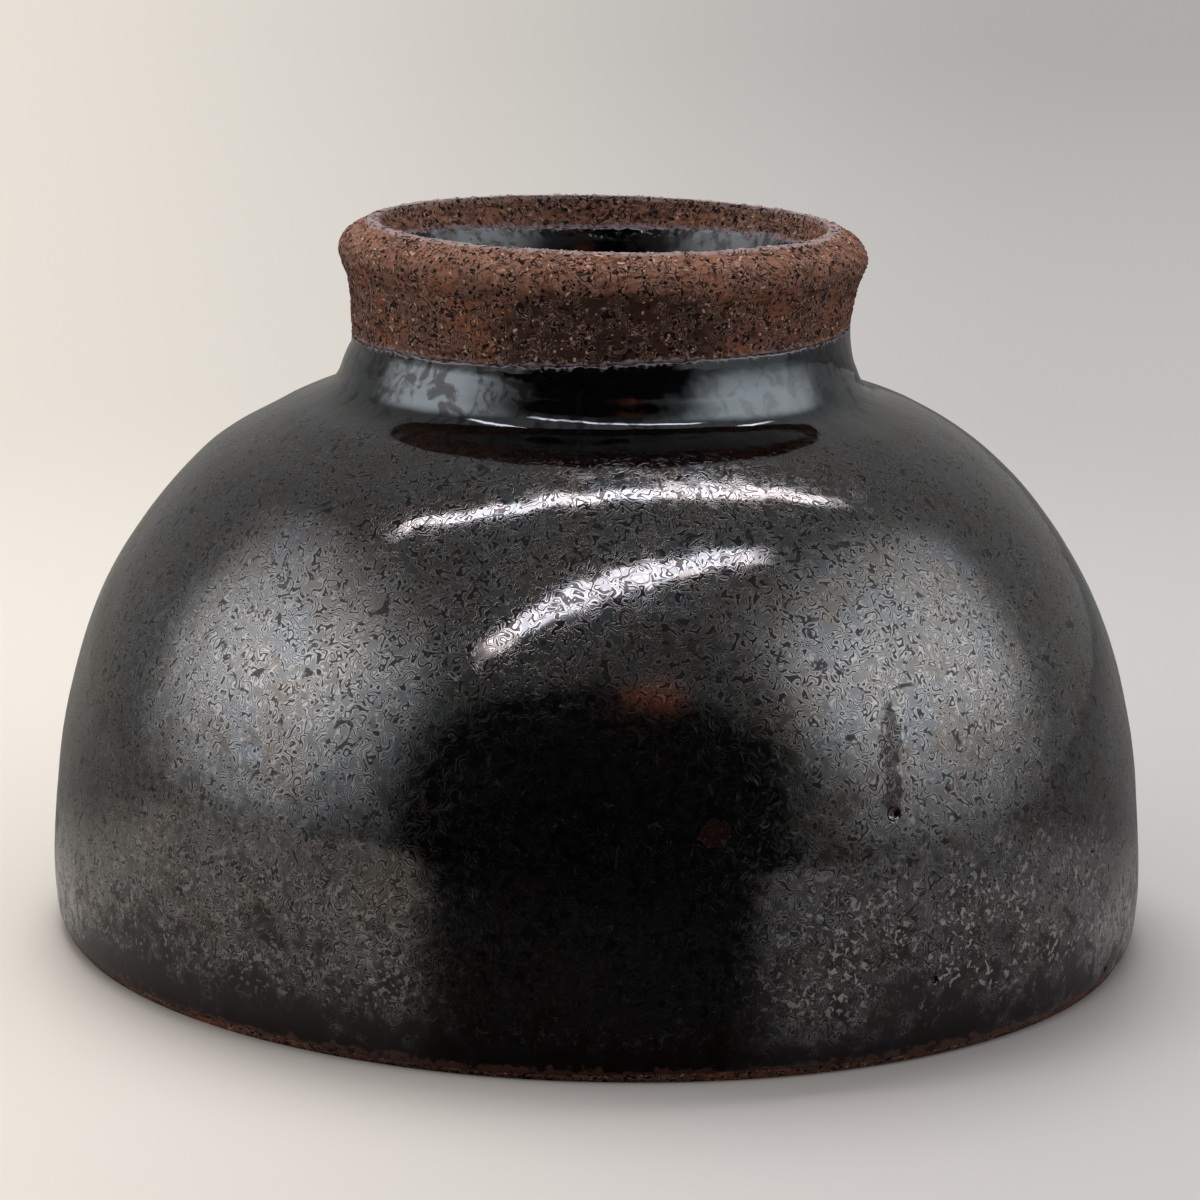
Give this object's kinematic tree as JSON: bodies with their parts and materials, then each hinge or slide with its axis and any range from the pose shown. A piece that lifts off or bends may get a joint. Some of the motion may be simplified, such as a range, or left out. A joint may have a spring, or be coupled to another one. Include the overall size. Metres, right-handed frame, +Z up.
{
  "type": "tea bowl",
  "caption": "Deep stoneware tea bowl in dark iron glaze, turned over on its lip, with a tall splayed unglazed foot ring standing on top.",
  "frame": {"origin": "centre of the lip's rest plane, which the upturned bowl stands on", "axes": "+Z up along the bowl's axis, from the lip towards the foot ring; turn it half a turn about X for use"},
  "size_m": [0.1215, 0.122, 0.0785],
  "materials": {
    "bare_clay": "matt, coarse, unglazed",
    "iron_glaze": "glossy with a fine mottled bloom"
  },
  "bodies": {
    "root": {"bowl_body": "bare_clay", "foot_ring": "bare_clay", "outer_glaze": "iron_glaze", "well_glaze": "iron_glaze", "recess_glaze": "iron_glaze"}
  },
  "joints": []
}
